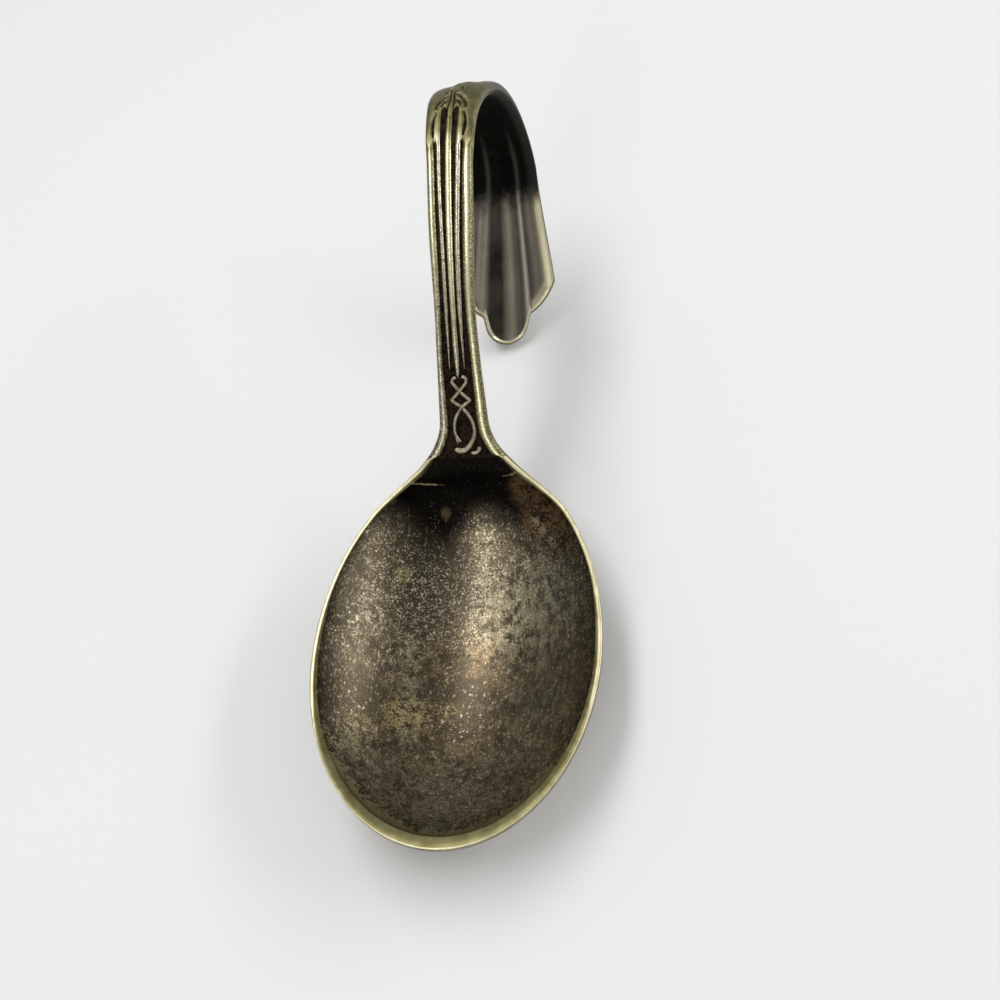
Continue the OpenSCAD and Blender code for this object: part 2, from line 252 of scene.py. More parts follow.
def mark(piece, name, values):
    """Keeps one number for each vertex, for the finish to use."""
    layer = piece.data.attributes.new(name, "FLOAT", "POINT")
    layer.data.foreach_set("value", np.clip(values, 0, 1).astype(np.float32).ravel())


def struck(name, face, edge, back, round_end=False):
    """A closed piece from three grids of blank points, and a function to mark them. The edge has one row
    of points for each border point of the face: up its left side, round the end where that is round,
    and down its right side."""
    rows = face.shape[0]
    face_ids = np.arange(face[..., 0].size).reshape(face.shape[:2])
    edge_ids = face_ids.size + np.arange(edge[..., 0].size).reshape(edge.shape[:2])
    back_ids = face_ids.size + edge_ids.size + face_ids

    def border(ids):
        end = ids[-1, 1:-1] if round_end else ids[-1, :0]
        return np.concatenate([ids[:, 0], end, ids[::-1, -1]])

    ring = np.column_stack([border(face_ids), edge_ids, border(back_ids)])
    quads = [grid_quads(face_ids), grid_quads(back_ids)[:, ::-1]]
    caps = [grid_quads(np.stack([face_ids[0], back_ids[0]])).tolist(), [ring[0].tolist(), ring[-1].tolist()]]
    if round_end:
        quads.append(grid_quads(ring)[:, ::-1])
    else:
        quads.append(grid_quads(ring[:rows])[:, ::-1])
        quads.append(grid_quads(ring[rows:])[:, ::-1])
        caps.append(grid_quads(np.stack([face_ids[-1], back_ids[-1]])).tolist())
        caps.append([ring[rows - 1].tolist(), ring[rows].tolist()])
    points = np.concatenate([g.reshape(-1, 3) for g in (face, edge, back)])
    piece = metal_piece(name, points, np.concatenate(quads).tolist(), sum(caps, []))

    def marks(layer, on_face=0, on_edge=0, on_back=0):
        """Keeps numbers on the three grids, each given for its grid or as one number."""
        values = zip((on_face, on_edge, on_back), (face, edge, back))
        mark(piece, layer, np.concatenate([np.broadcast_to(v, g.shape[:2]).ravel() for v, g in values]))

    return piece, marks


# Heights across the rim's flat top and outer edge, and across a bead, from the inner side outwards
rim_t = np.array([1, 0.75, 0.5, 0.28, 0.12, 0.03, 0, 0, 0.03])
rim_profile = np.array([0, 0, 0, -0.01, -0.05, -0.13, -0.25, -0.45, -0.6])
edge_q = np.array([0.03, 0.1, 0.22, 0.36, 0.5, 0.65, 0.8, 0.92, 1.0, 1.0, 0.97])
bead_profile = np.array([-0.26, -0.17, -0.08, -0.02, 0.0, -0.03, -0.11, -0.23, -0.42, -0.6, -0.74])
lip_t = np.array([0.03, 0.2, 0.45, 0.7])

across = np.sin(np.pi / 2 * np.linspace(-1, 1, 161))
rear_rows = np.concatenate([np.linspace(field_s, 2, 70, endpoint=False), np.linspace(2, wide_s, 95)])
front_rows = np.sin(np.pi / 2 * np.linspace(0, 1, 110))[1:]


def across_oval(half, front):
    """Grid over the front half of an oval, square at its wide side and round at its front edge."""
    v, u = np.meshgrid(front_rows, across, indexing="ij")
    return wide_s - front * v * np.sqrt(1 - u * u / 2), half * u * np.sqrt(1 - v * v / 2)


def hollow_depth(s):
    share = (half_w(s) - half_w(np.float64(field_s))) / (bowl_half_w - half_w(np.float64(field_s)))
    return mix(field_depth, bowl_depth, np.maximum(share, 0) ** hollow_power)


rear_w = half_w(rear_rows)
rear_ring = mix(side_ring, rim_ring, ramp(rear_rows, wide_s, 9))
rear_ring = mix(rear_ring, neck_ring, ramp(rear_rows, 2, 3.5))
inset = rear_ring * lean(rear_rows)
neck_share = ramp(rear_rows, neck_flat_s, field_s - neck_flat_s)
s, g = np.meshgrid(rear_rows, across, indexing="ij")
x = g * (rear_w - inset)[:, None]
lip_drop = lip_slope * (rear_ring - rim_flat)[:, None]
dish = -lip_drop - (hollow_depth(rear_rows)[:, None] - lip_drop) * (1 - g * g) ** dish_power
h = mix(dish, -field_depth, neck_share[:, None])


def line_gap(s, x, path):
    """Distance of blank points (s, x) from a line, and how far along the line the nearest point is."""
    gap = np.full(s.shape, 99.0)
    share = np.zeros(s.shape)
    for i, ((s0, x0), (s1, x1)) in enumerate(zip(path, path[1:])):
        run = (s1 - s0) ** 2 + (x1 - x0) ** 2
        t = np.clip(((s - s0) * (s1 - s0) + (x - x0) * (x1 - x0)) / run, 0, 1)
        near = np.hypot(s - s0 - t * (s1 - s0), x - x0 - t * (x1 - x0))
        share = np.where(near < gap, (i + t) / (len(path) - 1), share)
        gap = np.minimum(gap, near)
    return gap, share


# A fine ridge runs in from the rim at each shoulder, where the hollow meets the neck
ridge = np.zeros(s.shape)
for path in ([(4.75, -6.9), (4.55, -6.0), (4.42, -4.8), (4.36, -3.6), (4.30, -2.8)],
             [(5.55, 5.9), (5.25, 5.2), (5.05, 4.5), (4.92, 3.7)]):
    gap, share = line_gap(s, x, path)
    ridge = np.maximum(ridge, bell(gap, mix(0.16, 0.05, share)) * mix(1, 0.55, share))
h = h + ridge_rise * ridge
rear_face = on_blank(s, x, h)

# Towards the front the rim slopes in as a broad lip before the hollow
front_s, front_x = across_oval(bowl_half_w - side_ring, bowl_front - front_ring)
front_share = (wide_s - front_s) / (bowl_front - front_ring)
front_ring_w = mix(side_ring, front_ring, front_share ** lip_power)
front_drop = lip_slope * (front_ring_w - rim_flat)
inside = np.maximum(0, 1 - (front_x / (bowl_half_w - side_ring)) ** 2 - front_share ** 2)
front_h = -front_drop - (bowl_depth - front_drop) * inside ** dish_power
bowl_face = np.concatenate([rear_face, on_blank(front_s, front_x, front_h)])
ring_w = np.concatenate([rear_ring[:, None] + 0 * s, front_ring_w])

outer_s, outer_x = across_oval(bowl_half_w, bowl_front)
outer = np.concatenate([on_blank(s, g * rear_w[:, None], 0), on_blank(outer_s, outer_x, 0)])


def round_border(grid):
    return np.concatenate([grid[:, 0], grid[-1, 1:-1], grid[::-1, -1]])


def edge_rows(inner, outer, share, h):
    """A row of points from each border point, at shares of the way out to the outline and heights h."""
    return on_blank(mix(inner[:, :1], outer[:, :1], share), mix(inner[:, 1:2], outer[:, 1:2], share), h)


border_in = round_border(bowl_face)
border_out = round_border(outer)
to_front = ramp(border_in[:, :1], wide_s - 4, -8)
bead_share = ramp(border_in[:, 0], neck_flat_s, field_s - neck_flat_s)[:, None]
flat_w = mix(rim_flat, front_flat, to_front[:, 0])
flat_share = np.minimum(0.8, flat_w / round_border(ring_w))[:, None]
ring_q = np.concatenate([lip_t * (1 - flat_share), 1 - rim_t * flat_share], axis=1)
rim_h = np.concatenate([border_in[:, 2:] * (1 - lip_t) ** 1.2, rim_profile + 0 * flat_share], axis=1)
foot_h = np.interp(ring_q, edge_q[:9], bead_profile[:9])
foot_h[:, -3:] = bead_profile[-3:]
bowl_edge = edge_rows(border_in, border_out, ring_q, mix(rim_h, foot_h, bead_share))

flat = smooth(rear_rows / field_s)
under_edge = mix(rim_edge, strap_edge, flat)
under_depth = mix(hollow_depth(rear_rows) + bowl_wall, strap_t, flat) - under_edge
under_power = mix(dish_power, back_power, flat)
under = -under_edge[:, None] - under_depth[:, None] * (1 - g * g) ** under_power[:, None]
rear_back = on_blank(s, g * (rear_w - back_in)[:, None], under)
back_half_w = bowl_half_w - back_in
back_front = bowl_front - back_in
back_s, back_x = across_oval(back_half_w, back_front)
inside = 1 - (back_x / back_half_w) ** 2 - ((back_s - wide_s) / back_front) ** 2
front_under = -rim_edge - (bowl_depth + bowl_wall - rim_edge) * np.maximum(inside, 0) ** dish_power
bowl_back = np.concatenate([rear_back, on_blank(back_s, back_x, front_under)])

bowl, bowl_marks = struck("bowl_shell", bowl_face, bowl_edge, bowl_back, round_end=True)

# Wear from 0 to 1: the ragged lip, a thin line under the rim, the ridges, and across the rim itself
face_s = bowl_face[..., 0]
face_x = bowl_face[..., 1]
from_wide = face_s - wide_s
reach = np.hypot(face_x / (bowl_half_w - side_ring), from_wide / (bowl_front - front_ring))
to_rim = np.where(from_wide < 0, (1 - reach) * bowl_front, half_w(face_s) - rim_ring - np.abs(face_x))
to_rim = np.maximum(to_rim, 0)
lip_wear = 0.64 * bell(to_rim, 1.6) * ramp(from_wide, -4, -9)
face_wear = np.maximum(lip_wear, 0.2 * bell(to_rim, 0.3))
face_wear[:len(ridge)] = np.maximum(face_wear[:len(ridge)], ridge)
side_wear = np.array([0.7, 0.74, 0.78, 0.82, 0.87, 0.95, 1, 1, 0.97, 0.6, 0.3, 0.3, 0.3])
front_wear = np.array([0.7, 0.71, 0.72, 0.73, 0.74, 0.80, 0.94, 1, 1, 0.85, 0.4, 0.3, 0.3])
neck_wear = np.array([0.7, 0.74, 0.78, 0.82, 0.87, 0.95, 1, 1, 0.97, 0.75, 0.62, 0.6, 0.6])
edge_wear = mix(side_wear, front_wear, to_front)
edge_wear = mix(edge_wear, neck_wear, smooth(border_in[:, :1] / field_s))
under_wear = mix(0.4, 0.6, smooth(bowl_back[..., 0] / field_s))
bowl_marks("wear", face_wear, edge_wear, under_wear)
bowl_marks("back", on_edge=np.array([0, 0, 0, 0, 0, 0, 0, 0, 0, 0.4, 1, 1, 1]), on_back=1)


class Shade:
    """A socket of a finish. Arithmetic on it adds Math nodes; node() adds any other node."""

    def __init__(self, tree, socket):
        self.tree = tree
        self.socket = socket

    def node(self, kind, settings=None, values=None, output=0):
        made = self.tree.nodes.new(kind)
        for key, value in (settings or {}).items():
            setattr(made, key, value)
        for key, value in (values or {}).items():
            if isinstance(value, Shade):
                self.tree.links.new(value.socket, made.inputs[key])
            else:
                made.inputs[key].default_value = value
        return Shade(self.tree, made.outputs[output])

    def maths(self, operation, first, second):
        return self.node("ShaderNodeMath", {"operation": operation}, {0: first, 1: second})

    def __add__(self, other):
        return self.maths("ADD", self, other)

    def __sub__(self, other):
        return self.maths("SUBTRACT", self, other)

    def __rsub__(self, other):
        return self.maths("SUBTRACT", other, self)

    def __mul__(self, other):
        return self.maths("MULTIPLY", self, other)

    __radd__ = __add__
    __rmul__ = __mul__

    def most(self, other):
        return self.maths("MAXIMUM", self, other)

    def marked(self, name):
        """One of the numbers that mark() keeps on the vertices."""
        return self.node("ShaderNodeAttribute", {"attribute_name": name}, {}, 2)

    def part(self, axis):
        return self.node("ShaderNodeSeparateXYZ", {}, {0: self}, axis)

    def between(self, low, high):
        """0 below low, 1 above high, smooth between."""
        return self.node("ShaderNodeMapRange", {"interpolation_type": "SMOOTHSTEP"},
                         {"Value": self, "From Min": low, "From Max": high})

    def colours(self, low, high):
        """Colour from low to high as this goes from 0 to 1."""
        return self.node("ShaderNodeMix", {"data_type": "RGBA"}, {0: self, 6: low, 7: high}, 2)

    def vector(self, operation, second, output=0):
        return self.node("ShaderNodeVectorMath", {"operation": operation}, {0: self, 1: second}, output)

    def spread(self, across_scale, along_scale):
        """The place on the blank, scaled across and along, so that noise runs in streaks."""
        return self.vector("MULTIPLY", (across_scale, along_scale, across_scale))

    def noise(self, scale, detail=3.0, rough=0.5):
        return self.node("ShaderNodeTexNoise", {"normalize": True},
                         {"Vector": self, "Scale": scale, "Detail": detail, "Roughness": rough})

    def spot(self, x, s, radius, soft):
        """1 inside a spot at (x, s) on the blank, 0 outside it."""
        gap = self.vector("DISTANCE", (x, s, 0), 1)
        return 1 - gap.between(radius * (1 - soft), radius * (1 + soft))

    def spots(self, *rows):
        """Sum of spots, each as (x, s, radius, soft, strength)."""
        return sum(self.spot(*row[:4]) * row[4] for row in rows)

    def stroke(self, start, end, width):
        """1 along a line between two places (x, s) of the blank, 0 beside it."""
        run = Vector((end[0] - start[0], end[1] - start[1], 0))
        from_start = self.vector("SUBTRACT", (*start, 0))
        share = from_start.vector("DOT_PRODUCT", run / run.length_squared, 1)
        share = self.node("ShaderNodeClamp", {}, {0: share})
        nearest = self.node("ShaderNodeVectorMath", {"operation": "SCALE"}, {0: run, "Scale": share})
        return 1 - from_start.vector("DISTANCE", nearest, 1).between(width * 0.2, width * 0.8)


def finish(name):
    """A new finish, with the sockets for the place on the blank and the wear."""
    material = bpy.data.materials.new(name)
    material.use_nodes = True
    root = Shade(material.node_tree, None)
    place = root.node("ShaderNodeAttribute", {"attribute_name": "blank"}, {}, 1)
    return material, place, root.marked("wear")


def paint(material, colour, rough, relief, depth):
    """Connects the colour, roughness and fine relief of a metal finish; depth is in metres."""
    shader = material.node_tree.nodes["Principled BSDF"]
    shader.inputs["Metallic"].default_value = 1.0
    normal = relief.node("ShaderNodeBump", {}, {"Height": relief, "Distance": depth})
    for name, shade in (("Base Color", colour), ("Roughness", rough), ("Normal", normal)):
        material.node_tree.links.new(shade.socket, shader.inputs[name])


# Colours: rubbed brass and its film, the plate and its tarnish, and the stains in the hollow
brass_bright = (0.68, 0.62, 0.36, 1)
brass_film = (0.27, 0.24, 0.115, 1)
brass_glint = (0.92, 0.86, 0.60, 1)
brass_shadow = (0.12, 0.09, 0.04, 1)
olive_dark = (0.130, 0.115, 0.048, 1)
olive_pale = (0.205, 0.183, 0.087, 1)
olive_flake = (0.34, 0.30, 0.16, 1)
plate_dark = (0.064, 0.050, 0.032, 1)
plate_brown = (0.170, 0.132, 0.081, 1)
plate_grey = (0.315, 0.278, 0.180, 1)
plate_warm = (0.215, 0.134, 0.068, 1)
plate_glint = (0.68, 0.60, 0.41, 1)
plate_white = (0.95, 0.87, 0.66, 1)
plate_green = (0.091, 0.087, 0.063, 1)
plate_tan = (0.26, 0.215, 0.125, 1)
stain_yellow = (0.43, 0.335, 0.155, 1)
spot_yellow = (0.25, 0.195, 0.085, 1)
rust_dark = (0.026, 0.016, 0.010, 1)
rust_brown = (0.135, 0.085, 0.042, 1)
throat_black = (0.006, 0.005, 0.004, 1)

worn_plate, place, wear = finish("worn_plate")
back = place.marked("back")
sideways = place.part(0)
along = place.part(1)
level = place.vector("MULTIPLY", (1, 1, 0))
mottle = place.noise(0.55, 6, 0.6)
clouds = place.noise(0.22, 4, 0.55)
grain = place.noise(4.4, 3, 0.6)
specks = place.noise(10.0, 2, 0.5)
crust = place.noise(1.1, 6, 0.68)
streaks = place.spread(4.5, 0.4).noise(1.0, 3, 0.6)
wipes = place.spread(1.0, 0.4).noise(1.3, 4, 0.6)
drawn = mottle * 0.6 + streaks * 0.4
blotches = mottle * 0.5 + crust * 0.5
scale = crust * 0.6 + grain * 0.4
dotted = specks * 0.5 + grain * 0.5

# Tarnish over the whole hollow, warmer at its middle and greener on its sides
base = drawn.between(0.36, 0.64).colours(plate_dark, plate_brown)
pale = (crust * 0.6 + clouds * 0.2 + streaks * 0.2 + level.spot(6.6, -6.7, 3.6, 0.9) * 0.10
        + along.between(-20, -30) * 0.04)
base = (pale.between(0.52, 0.60) * 0.45).colours(base, plate_grey)
base = ((1 - crust.between(0.38, 0.46)) * 0.55).colours(base, plate_dark)
green = (sideways + 1) * (sideways + 1) * 0.009 + clouds * 1.6 - 0.8
base = (green.between(0.4, 1.4) * 0.55).colours(base, plate_green)
warm = level.spot(0.5, -17.0, 7.0, 0.8) * blotches.between(0.40, 0.58)
base = (warm * 0.8).colours(base, plate_warm)
cool = level.spots((9.0, -19.0, 5.0, 0.8, 1.0), (2.0, -28.5, 4.5, 0.8, 0.7))
base = (cool * clouds.between(0.35, 0.60) * 0.6).colours(base, plate_green)
bottom = along.between(-27, -31) * scale.between(0.36, 0.58)
base = (bottom * 0.7).colours(base, plate_tan)

# Painted shade and highlight across the hollow: a dark middle between the highlight bands, darker strips
# beside them, dark spots where the lamps' highlights run too far and a pale painted highlight down the right
# band; then pale smears and wipes of tarnish
shade = level.spot(-3.6, -4.2, 5.0, 0.75)
band_edge_shade = level.stroke((-1.9, -2.0), (-1.4, -13.5), 2.2)
left_band_shade = level.stroke((-12.0, -2.5), (-12.7, -10.0), 2.8)
highlight_and_polish = level.stroke((1.2, 1.4), (1.0, -9.5), 2.0)
strip = level.stroke((-5.9, -11.5), (-5.2, -21.5), 1.7)
band_end_shade = level.spot(-10.4, -18.0, 3.2, 0.7).most(level.spot(0.9, -17.0, 3.2, 0.7))
right_side = level.spot(7.2, -9.0, 5.6, 0.7).most(level.spot(7.5, -18.5, 5.0, 0.7) * 0.7)
painted_shade_spots = level.spots((-0.5, -17.8, 4.3, 0.8, 1.5), (-10.4, -18.2, 3.0, 0.8, 1.8), (-12.8, -12.8, 2.4, 0.8, 1.0),
                   (-8.8, -12.2, 1.6, 0.8, 0.6), (11.6, -5.0, 2.2, 0.8, 0.6))
painted_shade_spots = painted_shade_spots + left_band_shade * 1.2 + band_end_shade * 0.5
smears = level.spot(6.1, -8.6, 3.4, 0.8).most(strip) * (crust * 0.6 + mottle * 0.4).between(0.40, 0.54)
base = (shade * 0.88).most(band_edge_shade * 0.72).colours(base, plate_dark)
base = (highlight_and_polish * crust.between(0.42, 0.58) * 0.4).colours(base, plate_grey)
base = (painted_shade_spots * 0.55).colours(base, plate_dark)
base = (smears * 0.55).colours(base, plate_grey)
base = (wipes.between(0.52, 0.62) * right_side * 0.7).colours(base, plate_grey)
base = (wipes.between(0.48, 0.38) * right_side * 0.7).colours(base, plate_dark)

# Yellow stains, pits and flakes
yellow = level.spots((-5.4, -19.2, 2.0, 0.8, 1.0), (-9.6, -21.7, 1.6, 0.9, 0.35),
                     (-1.5, -18.5, 1.0, 0.9, 0.35))
base = (yellow * scale.between(0.44, 0.56)).colours(base, stain_yellow)
pits = 1 - grain.between(0.34, 0.48)
base = (pits * (0.6 - right_side * 0.3)).colours(base, plate_dark)
flakes = place.spread(1.0, 0.7).noise(3.0, 4, 0.6).between(0.60, 0.65) * crust.between(0.42, 0.54)
base = (flakes * (1 - shade * 0.5) * 0.5).colours(base, plate_glint)

# The black throat with its dust, the spots beside it and the rust at the right shoulder
dip = level.spots((-3.6, -0.5, 4.4, 0.85, 1.4), (1.0, 0.2, 2.3, 0.8, -3.0), (-9.3, 0.4, 2.8, 0.8, -2.2))
throat = (along + mottle * 3 + crust * 3 + dip).between(-0.2, 5.8)
base = throat.colours(base, throat_black)
dust = dotted.between(0.58, 0.66) * blotches.between(0.42, 0.58)
base = (dust * throat * (0.25 + along.between(4, 1) * 0.4)).colours(base, plate_grey)
spots = level.spots((-7.1, -3.9, 0.85, 0.3, 1.0), (-2.9, 2.0, 0.45, 0.5, 0.3), (-8.6, 3.2, 0.7, 0.6, 0.6))
base = (spots * grain.between(0.30, 0.50) * 0.85).colours(base, spot_yellow)
brown = level.spot(5.9, 3.9, 1.5, 0.5).most(level.spot(8.2, 1.5, 2.5, 0.35))
brown = brown.most(level.spot(10.0, -1.5, 1.9, 0.4))
base = (brown * 0.9).colours(base, scale.between(0.42, 0.55).colours(rust_dark, rust_brown))

# Glints of clean plate, sparser towards the front
sparse = (along + clouds * 10).between(-12, -1) * 0.8 + 0.2 + highlight_and_polish * 0.4 + strip * 0.4
gathered = (mottle * 0.4 + crust * 0.4 + streaks * 0.2).between(0.42, 0.56)
# Fewer glints on the right side and in the painted shade beside and below the highlight bands
damped = right_side.most(left_band_shade * 2).most(band_end_shade * 1.8) * 0.35
glints = dotted.between(0.55, 0.60) * (gathered + highlight_and_polish * 0.3)
glints = glints * sparse * (1 - throat) * (1 - brown * 0.8) * (1 - damped)
base = (glints * (0.95 - shade * 0.15)).colours(base, shade.colours(plate_glint, plate_white))

# Dashes, dots and chips near the rim and the front, then the scratches
from_middle = sideways * sideways * 0.0053 + (along + 14.4) * (along + 14.4) * 0.0027
near_rim = from_middle.between(0.50, 0.80) * along.between(-3, -10)
dashes = place.spread(0.8, 2.6).noise(1.7, 2, 0.5).between(0.62, 0.67) * along.between(-23, -28)
dots = place.spread(1.6, 0.9).noise(2.2, 2, 0.5).between(0.60, 0.66) * near_rim
base = (dashes * 0.6).most(dots * 0.7).colours(base, plate_grey)
chips = place.spread(1.2, 0.9).noise(2.6, 2, 0.5).between(0.66, 0.70)
chips = chips * along.between(-12, -19) * sideways.between(-7, -1)
base = (chips * 0.6).colours(base, plate_glint)
scratches = level.stroke((-4.9, 1.2), (-5.3, -3.5), 0.11).most(level.stroke((-6.7, 2.4), (-6.9, -1.2), 0.07))
nick = level.stroke((-12.3, -11.9), (-12.9, -12.7), 0.16)
nick = nick.most(level.stroke((-12.9, -12.7), (-13.35, -14.2), 0.14))
base = (scratches.most(nick) * grain.between(0.40, 0.62) * (0.45 - throat * 0.3)).colours(base, plate_grey)
streak = level.stroke((6.9, 1.1), (9.2, -2.0), 0.62) * (crust * 0.5 + grain * 0.5).between(0.42, 0.56)
base = (streak * 0.6).colours(base, plate_grey)
chip = level.spot(3.6, -3.2, 0.42, 0.25) * (1 - level.spot(3.7, -3.1, 0.26, 0.4))
base = (chip * grain.between(0.40, 0.56) * 0.6).colours(base, plate_glint)

# The back, and the brass and olive film where the wear goes through the plate
back_base = (mottle * 0.6 + clouds * 0.4).between(0.38, 0.62).colours(plate_brown, plate_grey)
base = back.colours(base, back_base)
ragged = (grain * 0.3 + crust * 0.7 - 0.5) * (1 - wear) * (wear.between(0.0, 0.15) * 2.6 + 0.8)
rubbed = (wear + ragged).between(0.36, 0.56)
olive = mottle.between(0.35, 0.65).colours(olive_dark, olive_pale)
olive = wear.between(0.70, 0.60).colours(olive, olive_flake)
# Where the wear goes through, brass shows, mixed toward the glint colour as a painted highlight along the rim
brass = wear.between(0.84, 1.0).colours(olive, drawn.between(0.35, 0.65).colours(brass_bright, brass_glint))
pitting = (along.between(-18, -7) * 0.55 + 0.45) * (1 - wear * 0.85)
paint(worn_plate, rubbed.colours(base, brass),
      0.28 + (grain - 0.5) * 0.3 + rubbed * 0.10 + throat * 0.17 + glints * shade * 0.25,
      (specks * 0.5 + grain * 1.4 + streaks * 0.25) * pitting, 0.000028)

bowl.data.materials.append(worn_plate)
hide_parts("bowl")
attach(bowl, "root")


# Shank: the strap of the handle, struck with a sunk ground between its two edge beads.
# The ground is matt and black with old tarnish; the plain back is worn from handling.
face_in = 0.03
round_in = 0.1
shank_rows = np.linspace(field_s, sweep_s, 220)
shank_across = np.sin(np.pi / 2 * np.linspace(-1, 1, 61))
shank_w = half_w(shank_rows)
s, g = np.meshgrid(shank_rows, shank_across, indexing="ij")
shank_face = on_blank(s, g * (shank_w - face_in)[:, None], -field_depth)
rounding = (strap_t - strap_edge) * (1 - g * g) ** back_power
shank_back = on_blank(s, g * (shank_w - round_in)[:, None], -strap_edge - rounding)
wall_in = np.array([face_in, face_in, face_in, 0.05])
wall_h = np.array([-0.4, -0.6, -0.8, -0.93])


def side_walls(rows_s, rows_w, drop_in, drop_h):
    """Edge rows for both sides of a strap: up its left side, then down its right side."""
    left = on_blank(rows_s[:, None], drop_in - rows_w[:, None], drop_h)
    right = left[::-1] * np.array([1, -1, 1])
    return np.concatenate([left, right])


shank_edge = side_walls(shank_rows, shank_w, wall_in, wall_h)
shank, shank_marks = struck("shank_strap", shank_face, shank_edge, shank_back)
shank_marks("wear", on_edge=mix(0.6, 0.9, ramp(shank_edge[..., 0], 26, 13)), on_back=0.75)

ground_black = (0.008, 0.006, 0.005, 1)
ground_brown = (0.040, 0.026, 0.016, 1)
ground_speck = (0.12, 0.09, 0.05, 1)
dark_field, place, wear = finish("dark_field")
ground = place.noise(2.2, 5, 0.65)
pits = place.noise(9.0, 2, 0.5)
base = ground.between(0.38, 0.66).colours(ground_black, ground_brown)
base = pits.between(0.60, 0.72).colours(base, ground_speck)
rubbed = (wear + (ground - 0.5) * 0.6).between(0.35, 0.75)
brass = ground.between(0.35, 0.65).colours(brass_film, brass_bright)
paint(dark_field, rubbed.colours(base, brass), 0.62 - rubbed * 0.30 + (ground - 0.5) * 0.2,
      pits + ground * 0.6, 0.00005)

shank.data.materials.append(dark_field)
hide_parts("shank")
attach(shank, "root")


# Edge beads: the raised round borders of the handle, struck with it. Each starts with a blunt nose on
# the neck and runs up to the crown. Handling keeps them polished to the brass, and their crests are
# painted brighter as a highlight; the left one is grey with plate at its foot.


def rib(name, stacks):
    """A piece of closed ribs with flat ends, each from a stack of rings of blank points."""
    faces = []
    caps = []
    begin = 0
    for rings in stacks:
        ids = begin + np.arange(rings[..., 0].size).reshape(rings.shape[:2])
        faces += grid_quads(np.column_stack([ids, ids[:, 0]])).tolist()
        caps += [ids[0].tolist(), ids[-1].tolist()]
        begin += ids.size
    return metal_piece(name, np.concatenate([r.reshape(-1, 3) for r in stacks]), faces, caps)


film_dark = (0.146, 0.131, 0.056, 1)
film_pale = (0.225, 0.203, 0.096, 1)
reed_grey = (0.36, 0.31, 0.24, 1)
reed_pale = (0.64, 0.57, 0.43, 1)
grime_black = (0.010, 0.008, 0.006, 1)
grime_brown = (0.045, 0.032, 0.018, 1)
film_s = 39.2
film_end_s = 42.2


def aged(place):
    """Noises for flecks and mottling, with the grime of the low places and the olive film on brass."""
    flecks = place.noise(5.5, 3, 0.6)
    mottle = place.noise(1.1, 5, 0.6)
    grime = mottle.between(0.35, 0.65).colours(grime_black, grime_brown)
    return flecks, mottle, grime, mottle.between(0.30, 0.70).colours(film_dark, film_pale)


def brass_layers(place, wear):
    """Rubbed brass with sparks and a painted highlight of glint colour on its most worn crests, grey where
    plate is left and filmed over at the crown; also the film's mask, the grime, and the noises for flecks,
    mottling and drawn lines."""
    flecks, mottle, grime, film = aged(place)
    silver = place.marked("silver")
    lines = place.spread(9.0, 0.35).noise(1.0, 3, 0.6)
    sparks = place.noise(5.6, 2, 0.5).between(0.54, 0.62)
    polished = (wear + (mottle * 0.5 + lines * 0.5 - 0.5) * 0.8).between(0.62, 1.0)
    brass = polished.colours(brass_film, brass_bright)
    # Painted highlight: the most worn crests go toward the glint colour
    brass = (wear.between(0.90, 1.0) * 0.5).colours(brass, brass_glint)
    brass = silver.colours(brass, mottle.between(0.35, 0.65).colours(reed_grey, reed_pale))
    brass = (sparks * (0.4 + silver * 0.3)).colours(brass, brass_glint)
    filmed = (place.part(1) + place.marked("edge") * 1.4).between(film_s, film_end_s)
    return filmed.colours(brass, film), filmed, grime, flecks, mottle, lines


brass_work, place, wear = finish("bare_brass")
brass, filmed, grime, flecks, mottle, lines = brass_layers(place, wear)
soiled = (wear + (flecks - 0.5) * 1.1).between(0.36, 0.66)
base = soiled.colours(grime, brass)
paint(brass_work, (flecks.between(0.58, 0.70) * 0.5).colours(base, brass_shadow),
      0.56 - soiled * 0.29 + filmed * 0.14 + (mottle - 0.5) * 0.15,
      flecks * (1.8 - wear * 1.3) + lines * 0.3, 0.00004)


def bead_width(s, side):
    """The left bead is narrower than the right one; both are wider at the foot and at the crown."""
    foot, plain, spread = (1.04, 0.70, 0.18) if side < 0 else (1.16, 0.95, 0.15)
    return mix(foot, plain, ramp(s, 9, 9)) + spread * ramp(s, 20, 10)


def bead_polish_and_highlight(h):
    """Wear of a bead: bright on its crest, partly from wear and partly as painted highlight; filmed over on
    its slopes.
    """
    return mix(0.60, 1, ramp(h, -0.10, 0.085))


